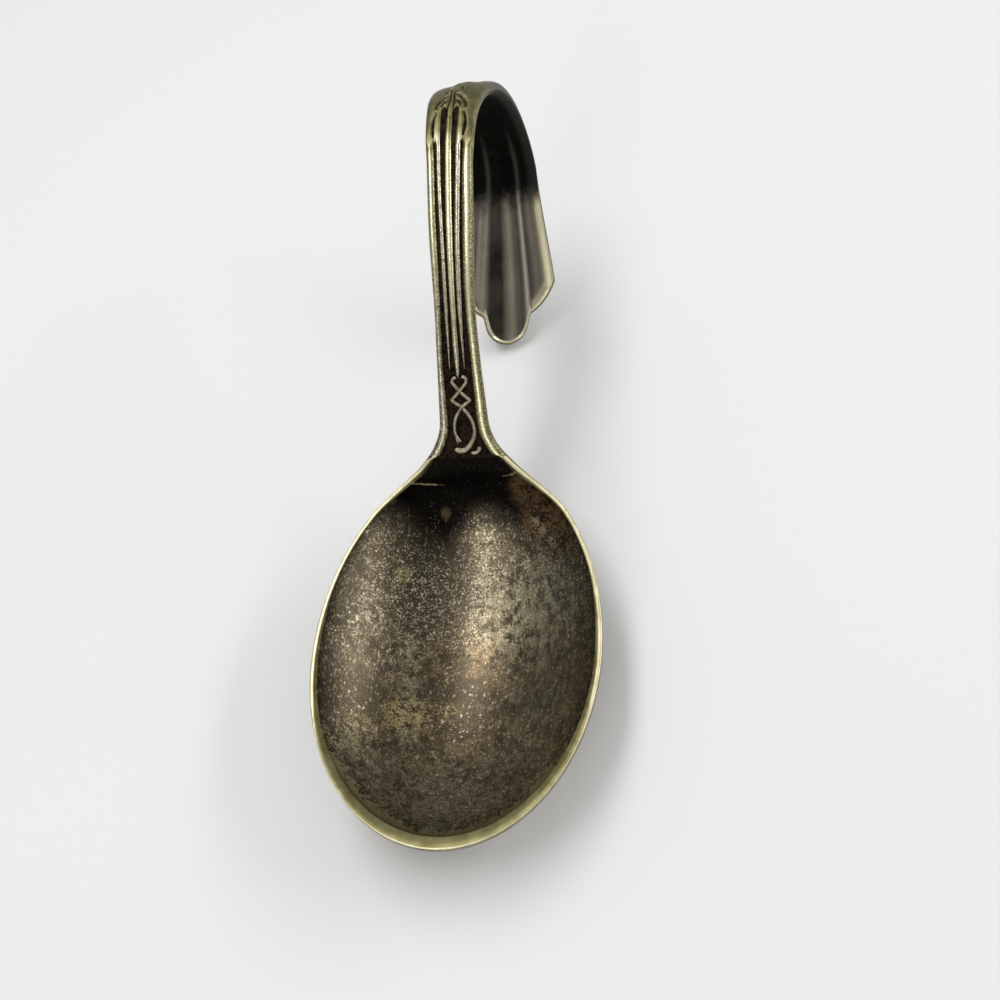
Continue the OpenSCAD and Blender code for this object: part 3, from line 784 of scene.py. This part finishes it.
nose_start = 0.1
nose_len = 0.3
nose_end_s = field_s + 0.6
right_roll = 0.1
bead_rows = np.concatenate([np.linspace(field_s, nose_end_s, 24, endpoint=False),
                            np.linspace(nose_end_s, sweep_s, 230)])
nose = np.clip((bead_rows - field_s - nose_start) / nose_len, 0, 1)
bead_q = np.concatenate([[0.0, 0.0], edge_q[:-1], [0.94, 0.5]])
bead_h = np.concatenate([[-0.5, -0.33], bead_profile[:-1], [-0.72, -0.66]])
for side, name, node in ((-1, "left_edge_roll", "left_bead"), (1, "right_edge_roll", "right_bead")):
    bead_in = mix(neck_ring, bead_width(bead_rows, side), np.sqrt(1 - (1 - nose) ** 2)) * lean(bead_rows)
    roll = right_roll * ramp(bead_rows, 7.5, 3) * ramp(bead_rows, sweep_s, -5) * (side > 0)
    reach = (half_w(bead_rows) + roll)[:, None] - (bead_in + roll)[:, None] * (1 - bead_q)
    bead = rib(name, [on_blank(bead_rows[:, None], side * reach, bead_h)])
    # The crest is kept brightest, partly as wear and partly as a painted highlight along it
    highlight_and_polish = bead_polish_and_highlight(bead_h) * np.maximum(ramp(bead_h, -0.36, 0.16), bead_q > 0.6)
    foot_polish, foot_grey = (0.80, 0.55) if side < 0 else (0.93, 0.0)
    dulled = mix(foot_polish, 1, ramp(bead_rows, 18, 12))
    greyed = mix(foot_grey, 0, ramp(bead_rows, 22, 8))
    mark(bead, "wear", dulled[:, None] * highlight_and_polish)
    mark(bead, "edge", np.ones(reach.size))
    mark(bead, "silver", greyed[:, None] + 0 * reach)
    bead.data.materials.append(brass_work)
    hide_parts(node)
    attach(bead, "root")


# Reeds: three thin raised lines struck in the sunk ground, which widen upwards from points above the
# knot. The middle one is rubbed to the brass; the outer two and its foot keep grey plate.
centre_start = shank_s - 0.4
outer_start = shank_s + 0.45
reed_gap = 0.02
reed_point = 0.5
reed_rows = np.linspace(centre_start, sweep_s, 200)
round_form = np.linspace(0, np.pi, 11)
reed_g = np.concatenate([-np.cos(round_form), [0.98, -0.98]])
reed_form = np.concatenate([np.sin(round_form) ** 0.8, [-0.25, -0.25]])
reed_shift = -0.1
outer_grey = 0.8


def reed_middle(s, side):
    return reed_shift + side * half_w(s) * mix(0.345, 0.42, ramp(s, 28, 10))


def reed_width(s, side):
    if side == 0:
        return mix(0.34, 0.64, ramp(s, 15.2, 3)) + 0.08 * ramp(s, 21, 10)
    return mix(0.15, 0.46 if side < 0 else 0.58, ramp(s, 14.5, 10))


for side, node, rub in ((-1, "left_reed", 0.86), (0, "centre_reed", 1.0), (1, "right_reed", 0.78)):
    begin = outer_start if side else centre_start
    taper = np.sqrt(np.clip((reed_rows - begin) / reed_point, 0.02, 1))
    width = reed_width(reed_rows, side) * taper
    reach = reed_middle(reed_rows, side)[:, None] + reed_g * width[:, None] / 2
    height = -field_depth + (field_depth - reed_gap) * taper[:, None] * reed_form
    rings = on_blank(reed_rows[:, None], reach, height)
    keep = reed_rows >= begin
    reed = rib("line_of_" + node, [rings[keep]])
    along_wear = rub * mix(0.72, 1, ramp(reed_rows[keep], 18, 8))
    mark(reed, "wear", along_wear[:, None] * ramp(reed_form, 0.1, 0.7))
    greyed = outer_grey if side else mix(0.65, 0, ramp(reed_rows[keep], 17, 9))
    mark(reed, "silver", (greyed + 0 * along_wear)[:, None] + 0 * reed_g)
    reed.data.materials.append(brass_work)
    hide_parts(node)
    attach(reed, "root")


# Knot: a small interlaced ornament struck in the ground at the foot of the handle. One strand rises
# from the curl at the bottom, the other from a split end; they cross twice round a diamond. Grey plate
# is left on them. Each strand is a list of places (s, x) on the blank.
right_strand = [(15.60, 0.26), (15.66, 0.48), (15.36, 0.72), (14.95, 0.58), (14.55, 0.22), (14.16, -0.14),
                (13.75, -0.52), (13.40, -0.88), (13.30, -0.95), (13.18, -0.88), (12.85, -0.50),
                (12.46, -0.04), (12.00, 0.40), (11.40, 0.78), (10.80, 1.02), (10.20, 1.13), (9.60, 1.10),
                (8.95, 0.88), (8.36, 0.50), (7.94, 0.06), (7.78, -0.40), (7.90, -0.86), (8.04, -1.10)]
left_strand = [(15.60, -0.30), (15.58, -0.58), (15.24, -0.80), (14.75, -0.52), (14.16, -0.10), (13.75, 0.36),
               (13.30, 0.83), (13.19, 0.92), (13.08, 0.84), (12.80, 0.42), (12.46, -0.02), (12.00, -0.38),
               (11.40, -0.72), (10.66, -0.94), (9.95, -0.95), (9.45, -0.82), (9.05, -0.62), (8.78, -0.40)]
split_end = [(9.45, -0.86), (9.05, -0.84), (8.66, -0.70)]
leaf = [(7.62, 0.62), (7.50, 0.90), (7.62, 1.24), (7.92, 1.46), (8.22, 1.46)]
strand_rise = field_depth - 0.06
over_lift = 0.16
under_dip = 0.45
strand_form = np.concatenate([np.sin(round_form) ** 0.5, [-0.25, -0.25]])


def strand_rings(path, width, end_width, over=None, under=None):
    """Rings along a strand: round-topped, lifted where it passes over and lowered where it passes under."""
    path = np.array(path)
    ends = np.concatenate([[2 * path[0] - path[1]], path, [2 * path[-1] - path[-2]]])
    t = np.linspace(0, 1, 9)[:-1, None]
    pieces = []
    for a, b, c, d in zip(ends, ends[1:], ends[2:], ends[3:]):
        pieces.append(0.5 * (2 * b + (c - a) * t + (2 * a - 5 * b + 4 * c - d) * t ** 2
                             + (3 * b - a - 3 * c + d) * t ** 3))
    middle = np.concatenate(pieces + [path[-1:]])
    way = np.gradient(middle, axis=0)
    way = way / np.linalg.norm(way, axis=1, keepdims=True)
    side = np.stack([-way[:, 1], way[:, 0]], axis=-1)
    length = np.concatenate([[0], np.cumsum(np.linalg.norm(np.diff(middle, axis=0), axis=1))])
    widths = mix(width, end_width, ramp(length / length[-1], 0.6, 0.35))
    from_end = np.minimum(length, length[-1] - length)
    nose = np.clip(from_end / (widths / 2), 0.03, 1)
    widths = widths * np.sqrt(1 - (1 - nose) ** 2)
    lift = np.ones(len(middle))
    if over is not None:
        lift = lift + over_lift * bell(np.linalg.norm(middle - over, axis=1), 0.35)
    if under is not None:
        lift = lift - under_dip * bell(np.linalg.norm(middle - under, axis=1), 0.3)
    reach = middle[:, None, :] + side[:, None, :] * (reed_g[:, None] * widths[:, None, None] / 2)
    height = -field_depth + strand_rise * lift[:, None] * strand_form
    return np.concatenate([reach, height[..., None]], axis=-1)


upper_cross = np.array([14.16, -0.12])
lower_cross = np.array([12.46, -0.03])
strands = [strand_rings(right_strand, 0.40, 0.66, upper_cross, lower_cross),
           strand_rings(left_strand, 0.40, 0.34, lower_cross, upper_cross),
           strand_rings(split_end, 0.22, 0.2),
           strand_rings(leaf, 0.46, 0.60)]
knot = rib("knot_strands", strands)
mark(knot, "wear", np.tile(ramp(strand_form, 0.3, 0.6), sum(len(rings) for rings in strands)))

strand_grime = (0.02, 0.015, 0.01, 1)
strand_dark = (0.25, 0.21, 0.145, 1)
strand_pale = (0.45, 0.395, 0.285, 1)
strand_plate, place, wear = finish("strand_plate")
flecks = place.noise(6.0, 3, 0.6)
mottle = place.noise(1.6, 4, 0.6)
plate = mottle.between(0.35, 0.65).colours(strand_dark, strand_pale)
cleaned = (wear + (flecks - 0.5) * 0.5).between(0.25, 0.65)
paint(strand_plate, cleaned.colours(strand_grime, plate), 0.55 - cleaned * 0.15 + (mottle - 0.5) * 0.2,
      flecks, 0.00002)
knot.data.materials.append(strand_plate)
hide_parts("knot")
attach(knot, "root")


# Crown: the top of the loop, where the reeds end in points round a small sprig and the strap is plain
# from there on. It was bent round a former after striking; its face has a satin olive film.
relief_end_s = 49.0
crown_rows = np.concatenate([np.linspace(sweep_s, relief_end_s, 170, endpoint=False),
                             np.linspace(relief_end_s, crown_s, 80)])
crown_across = np.sin(np.pi / 2 * np.linspace(-1, 1, 151))
crown_in = 0.14
edge_round = 0.3
edge_power = 6
flute_depth = 0.45
flute_share = 0.42
tail_t = 1.2
flute_s = mix(sweep_s, crown_s, 0.6)


def flutes(s):
    return ramp(s, flute_s, crown_s - flute_s)


def flute_place(share):
    a = np.abs(share)
    return np.where(a <= flute_share, a / flute_share, np.abs(2 * (a - flute_share) / (1 - flute_share) - 1))


def rounded(s, share):
    return -edge_round * (1 - flutes(s)) * share ** edge_power


def flute_hollow(share):
    return (1 - np.cos(np.pi * flute_place(share))) / 2


def plain_back(s, share, face):
    strap = -strap_edge - (strap_t - strap_edge) * np.maximum(0, 1 - share * share) ** back_power
    return mix(strap, face - tail_t, flutes(s))


# Lines cut beside the sprig, as (s, distance out) from the middle of the strap
flame = [(40.9, 1.58), (41.6, 1.70), (42.5, 1.74), (43.3, 1.66), (44.0, 1.46)]
leaf_back = [(46.9, 0.34), (46.6, 0.78), (46.0, 1.22), (45.3, 1.52), (44.75, 1.60), (44.7, 1.38)]
leaf_front = [(46.0, 0.36), (45.8, 0.72), (45.35, 0.98), (44.95, 0.95)]
stem_side = [(43.4, 0.36), (44.6, 0.34), (45.8, 0.26), (46.8, 0.16), (47.6, 0.20), (48.2, 0.42)]
top_curl = [(48.9, 0.22), (48.6, 0.66), (47.9, 0.92), (47.4, 0.78)]
top_mark = [(49.7, 0.75), (49.5, 1.10)]
s, g = np.meshgrid(crown_rows, crown_across, indexing="ij")
crown_w = half_w(crown_rows)
x = g * (crown_w - crown_in)[:, None]
plain = rounded(s, g) - flutes(s) * flute_depth * flute_place(g) ** 2
struck_top = np.full(s.shape, -field_depth)
for side in (-1, 1):
    edge_share = 1 - (crown_w[:, None] - side * x) / (bead_width(s, side) + 0.15 * ramp(s, sweep_s, 3))
    bead_top = np.interp(edge_share, np.concatenate([[-0.01, 0.0], edge_q[:9]]),
                         np.concatenate([[-field_depth, -0.33], bead_profile[:9]]))
    struck_top = np.maximum(struck_top, bead_top)
on_bead = struck_top > -0.34
crest_wear_and_highlight = np.where(on_bead, bead_polish_and_highlight(struck_top), 1)
silver = np.zeros(s.shape)
for side in (-1, 0, 1):
    reed_place = (x - reed_middle(s, side)) / (reed_width(s, side) / 2)
    reed_top = -field_depth + (field_depth - reed_gap) * np.maximum(0, 1 - reed_place ** 2) ** 0.4
    struck_top = np.maximum(struck_top, reed_top)
    silver = np.maximum(silver, outer_grey * abs(side) * (np.abs(reed_place) < 1))
groove_rise = 0.36
cut_depth = 0.2
collar_rise = 0.06
sprig_rise = 0.3
groove_end_s = 45.1
outer_end_s = 39.6
collar_s = 43.15
sprig_x = 0.45
off_middle = np.abs(x - reed_shift)
reed_out = reed_middle(s, 1) - reed_shift
outer_groove = ramp(off_middle, reed_out - 0.1, 0.2)
groove_place = (off_middle - 0.5 * reed_out - 0.08) / (0.45 * reed_out)
groove_top = groove_end_s - 1.3 * np.clip(groove_place, -1, 1) ** 2
rise = groove_rise * mix(ramp(s, groove_top - 0.5, 0.7), ramp(s, outer_end_s, 1.5), outer_groove)
relief = np.minimum(struck_top + rise, mix(0, plain, ramp(s, sweep_s, 4)))
cut = np.zeros(s.shape)
for path, width in ((flame, 0.17), (leaf_back, 0.2), (leaf_front, 0.16), (stem_side, 0.14), (top_curl, 0.18),
                    (top_mark, 0.16)):
    for side in (-1, 1):
        line = [(along_s, side * out + reed_shift) for along_s, out in path]
        gap, share_along = line_gap(s, x, line)
        form = width * (0.45 + 0.55 * np.sin(np.pi * np.clip(share_along, 0.05, 0.95)))
        cut = np.maximum(cut, bell(gap, form))
collar = bell(s - collar_s, 0.2) * ramp(off_middle, 0.5, -0.2)
sprig = ramp(np.abs(x - sprig_x), 1.7, -1.3) * ramp(s, 45.5, 2.0) * ramp(s, 51.6, -1.6)
thick = 0.18 * ramp(s, 42.5, 4) * ramp(s, 61, -9)
height = relief - cut_depth * cut + collar_rise * collar + sprig_rise * sprig + thick
crown_face = on_blank(s, x, height)
crown_hollow = rounded(s, g) - flutes(s) * flute_depth * flute_hollow(g)
crown_back = on_blank(s, x, plain_back(s, g, crown_hollow))
edge_in = np.array([0.05, 0.0, 0.0, 0.0, 0.05])
edge_start = np.array([-0.17, -0.32, -0.55, -0.75, -0.93])
wall_share = np.array([0.1, 0.3, 0.5, 0.7, 0.9])
left_edge = mix(height[:, :1], crown_back[:, :1, 2], wall_share)
right_edge = mix(height[:, -1:], crown_back[:, -1:, 2], wall_share)
walls = side_walls(crown_rows, crown_w, edge_in, edge_start)
plain_share = ramp(crown_rows, sweep_s, 2)[:, None]
walls[:len(crown_rows), :, 2] = mix(edge_start, left_edge, plain_share)
walls[len(crown_rows):, :, 2] = mix(edge_start, right_edge, plain_share)[::-1]
crown, crown_marks = struck("crown_strap", crown_face, walls, crown_back)
crease = bell(np.abs(g) - flute_share, 0.055) * ramp(s, 58, 10)
low = ramp(relief - plain, -0.26, 0.2) * (1 - 0.68 * cut) * (1 - 0.9 * crease)
low = low * mix(crest_wear_and_highlight, 1, ramp(s, 42, 2))
back_ridge = bell(np.abs(g) - flute_share, 0.06) * ramp(s, 61, 7)
back_ridge = np.maximum(back_ridge, 0.6 * ramp(g, 0.66, 0.2) * ramp(s, 47, 6))
wall_s = walls[..., 0]
crown_marks("wear", low, 0.9, 0.25)
crown_marks("back", on_back=1)
crown_marks("ridge", on_back=back_ridge)
crown_marks("side", on_edge=ramp(wall_s, 44, 10) * ramp(wall_s, crown_s, -7))
crown_marks("silver", silver)
crown_marks("edge", on_bead, 1, 1)

loop_black = (0.005, 0.005, 0.004, 1)
loop_dark = (0.011, 0.010, 0.008, 1)
ridge_grey = (0.115, 0.125, 0.105, 1)
side_grey = (0.060, 0.066, 0.055, 1)
satin_brass, place, wear = finish("satin_brass")
back = place.marked("back")
brass, filmed, grime, flecks, mottle, lines = brass_layers(place, wear)
soiled = (wear + (flecks - 0.5) * (1.1 - filmed * 0.4)).between(0.36, 0.66)
base = soiled.colours(grime, brass)
base = (flecks.between(0.58, 0.70) * (1 - filmed) * 0.5).colours(base, brass_shadow)
base = (place.marked("side") * 0.85).colours(base, side_grey)
under = place.noise(2.2, 5, 0.65).between(0.35, 0.65).colours(brass_film, brass_bright)
# Painted shade inside the loop: under the crown the back is brass, deeper in it goes near black, a little
# lighter along the ridges
inner = mottle.between(0.30, 0.70).colours(loop_black, loop_dark)
inner = (place.marked("ridge") * 0.5).colours(inner, ridge_grey)
shadowed = place.part(1).between(41, 54)
face_rough = 0.56 - soiled * 0.29 + filmed * 0.14 + (mottle - 0.5) * 0.15
paint(satin_brass, back.colours(base, shadowed.colours(under, inner)),
      face_rough * (1 - back) + back * (0.36 + shadowed * 0.3),
      flecks * (1.8 - wear * 1.3) * (1 - filmed * 0.2) + lines * 0.3, 0.00004)
crown.data.materials.append(satin_brass)
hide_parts("crown")
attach(crown, "root")


# Lobed tip: the flat end of the strap, struck into three convex flutes that end in round lobes.
# Inside the loop the flutes are hollow and the edges are worn bright; highlights and shade are painted across
# the flutes, brightest on the right ridge.
tail_edge = 0.28
lobe_form = (1 - np.cos(np.pi * np.linspace(0, 1, 45))) / 2
tip_across = np.concatenate([mix(-1, -flute_share, lobe_form[:-1]),
                             mix(-flute_share, flute_share, lobe_form[:-1]), mix(flute_share, 1, lobe_form)])
even_end = lobe_s - side_lobe
lobe_roundness = 1.3
corner_ease = 0.03
cup_reach = 2.4


def lobe_end(share):
    a = np.abs(share)
    side = (a - flute_share) / (1 - flute_share)
    middle_end = tip_s - centre_lobe * (1 - np.sqrt(np.maximum(0, 1 - (a / flute_share) ** 2)))
    slant = np.maximum(0, 1 - np.maximum(side, 0) ** lobe_roundness) ** (1 / lobe_roundness)
    return np.where(a <= flute_share, middle_end, lobe_s + side_lobe * slant)


half_rows = 60
tip_rows = np.concatenate([np.linspace(crown_s, even_end, half_rows), np.full(half_rows, even_end)])
lobe_step = np.concatenate([np.zeros(half_rows), np.sin(np.pi / 2 * np.linspace(0, 1, half_rows + 1)[1:])])
s, g = np.meshgrid(tip_rows, tip_across, indexing="ij")
end = (lobe_end(g - corner_ease) + 2 * lobe_end(g) + lobe_end(g + corner_ease)) / 4
full_s = mix(s, end, lobe_step[:, None])
s = mix(s, end - tail_edge, lobe_step[:, None])
outer = on_blank(full_s, g * half_w(full_s), 0)
x = g * (half_w(s) - mix(crown_in, tail_edge, ramp(s, crown_s, 4)))
cup = np.maximum(0, 1 - (end - s) / cup_reach) ** 2
height = rounded(s, g) - flutes(s) * flute_depth * np.minimum(1, np.maximum(flute_place(g) ** 2, cup))
tip_face = on_blank(s, x, height)
back_face = -flutes(s) * flute_depth * np.minimum(1, np.maximum(flute_hollow(g), cup))
tip_back = on_blank(s, x, plain_back(s, g, back_face))
border_in = round_border(tip_face)
border_low = round_border(tip_back)
turns = np.radians([18, 40, 65, 90, 115, 140, 162])
round_h = mix(border_in[:, 2:], border_low[:, 2:], (1 - np.cos(turns)) / 2)
tip_edge = edge_rows(border_in, round_border(outer), np.sin(turns), round_h)
tip, tip_marks = struck("tip_lobes", tip_face, tip_edge, tip_back, round_end=True)
crest = bell(np.abs(g) - flute_share, 0.055)
end_slant = np.minimum(2.6, np.hypot(1, np.gradient(end[-1], g[-1] * half_w(end[-1]))))
from_end = (end - s) / end_slant
border = np.maximum.reduce([(1 - ramp(from_end, 0.42, 0.22)) * ramp(end - s, 3.2, -2),
                            0.7 * ramp(from_end, 2.1, -1.3) * ramp(g, flute_share, 0.1),
                            ramp(g, 0.70, 0.22), ramp(g, -0.9, -0.08)])
border = border * mix(1, 0.6, ramp(g, -flute_share, -0.06))
back_wear = 0.95 * border * ramp(full_s, crown_s + 1, 4)
# Painted highlights and shade across the flutes inside the loop, from the left edge to the right one
flute_light_at = [-1, -0.8, -0.5, -0.43, -0.36, -0.1, 0.02, 0.10, 0.2, 0.33, 0.375, 0.41, 0.455, 0.49, 0.56, 0.66,
          0.8, 1]
flute_light_values = [0.25, 0.46, 0.5, 0.46, 0.1, 0.06, 0.6, 0.8, 0.3, 0.2, 0.85, 1, 0.85, 0.18, 0.25, 0.6, 0.55, 0.5]
tip_marks("wear", 1 - 0.9 * crest, 0.95, back_wear)
tip_marks("back", on_back=1)
tip_marks("flute_light", on_back=np.interp(g, flute_light_at, flute_light_values))
tip_marks("ridge", on_back=np.maximum(crest, 0.6 * ramp(g, 0.66, 0.2)))

edge_tan = (0.46, 0.37, 0.22, 1)
edge_pale = (0.82, 0.76, 0.54, 1)
flute_dark = (0.022, 0.020, 0.016, 1)
flute_grey = (0.36, 0.325, 0.26, 1)
flute_highlight = (0.60, 0.55, 0.44, 1)
shadow_black = (0.008, 0.007, 0.006, 1)
tip_plate, place, wear = finish("tip_plate")
back = place.marked("back")
flute_light = place.marked("flute_light")
flecks, mottle, grime, film = aged(place)
patches = place.noise(0.3, 3, 0.5)
lines = place.spread(7.0, 0.4).noise(1.0, 3, 0.6)
# Painted highlights and shade across the flutes, broken by patches and lines of tarnish
tarnish_and_painted_light = flute_light + (patches * 0.6 + lines * 0.4 - 0.5) * 0.5
grey = tarnish_and_painted_light.colours(flute_dark, flute_grey)
grey = flute_light.between(0.85, 1.0).colours(grey, flute_highlight)
# Painted shade inside the loop: near black towards the crown, a little lighter along the ridges
shadow = (place.marked("ridge") * 0.5).colours(shadow_black, ridge_grey)
loop_shade = 1 - (place.part(1) + mottle * 3 - 1.5).between(70.0, 74.0)
rubbed = (wear + (flecks - 0.5) * 0.4).between(0.15, 0.85)
inner = rubbed.colours(loop_shade.colours(grey, shadow), wear.between(0.45, 0.9).colours(edge_tan, edge_pale))
soiled = (wear + (flecks - 0.5) * 0.7).between(0.36, 0.66)
paint(tip_plate, back.colours(soiled.colours(grime, film), inner),
      0.42 + loop_shade * back * 0.22 - rubbed * back * 0.10 + (mottle - 0.5) * 0.15,
      flecks * 0.5 + lines * 0.5, 0.00003)
tip.data.materials.append(tip_plate)
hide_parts("lobed_tip")
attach(tip, "root")


# Floor and light: a plain pale table, a long soft lamp overhead to the left, another low on the right, a
# small one in front, and even light from the room.
floor_mesh = bpy.data.meshes.new("floor")
floor_half = 1.5
floor_z = -0.00005
floor_mesh.from_pydata([(-floor_half, -floor_half, floor_z), (floor_half, -floor_half, floor_z),
                        (floor_half, floor_half, floor_z), (-floor_half, floor_half, floor_z)],
                       [], [(0, 1, 2, 3)])
floor = bpy.data.objects.new("floor", floor_mesh)
bpy.context.scene.collection.objects.link(floor)
floor_paint = bpy.data.materials.new("floor_paint")
floor_paint.use_nodes = True
floor_shader = floor_paint.node_tree.nodes["Principled BSDF"]
floor_shader.inputs["Base Color"].default_value = (0.86, 0.855, 0.845, 1)
floor_shader.inputs["Roughness"].default_value = 0.7
floor.data.materials.append(floor_paint)

# Each lamp as its place, width, length and power
lamp_aim = Vector((0, 0.005, 0.005))
lamps = {"overhead_lamp": ((-0.13, 0.09, 0.42), 0.11, 0.52, 0.95),
         "side_lamp": ((0.36, 0.15, 0.24), 0.07, 0.40, 0.6),
         "front_lamp": ((-0.09, -0.38, 0.25), 0.10, 0.16, 0.25)}
for name, (place_at, wide, long, power) in lamps.items():
    lamp = bpy.data.objects.new(name, bpy.data.lights.new(name, "AREA"))
    lamp.data.shape = "RECTANGLE"
    lamp.data.size = wide
    lamp.data.size_y = long
    lamp.data.energy = power
    lamp_back = (Vector(place_at) - lamp_aim).normalized()
    lamp_side = Vector((0, 1, 0)).cross(lamp_back).normalized()
    lamp_turn = Matrix((lamp_side, lamp_back.cross(lamp_side), lamp_back)).transposed()
    lamp.matrix_world = Matrix.Translation(place_at) @ lamp_turn.to_4x4()
    bpy.context.scene.collection.objects.link(lamp)

room = bpy.data.worlds.new("room")
room.use_nodes = True
room.node_tree.nodes["Background"].inputs["Color"].default_value = (0.96, 0.98, 1.0, 1)
room.node_tree.nodes["Background"].inputs["Strength"].default_value = 0.45
bpy.context.scene.world = room
bpy.context.scene.view_settings.view_transform = "Standard"
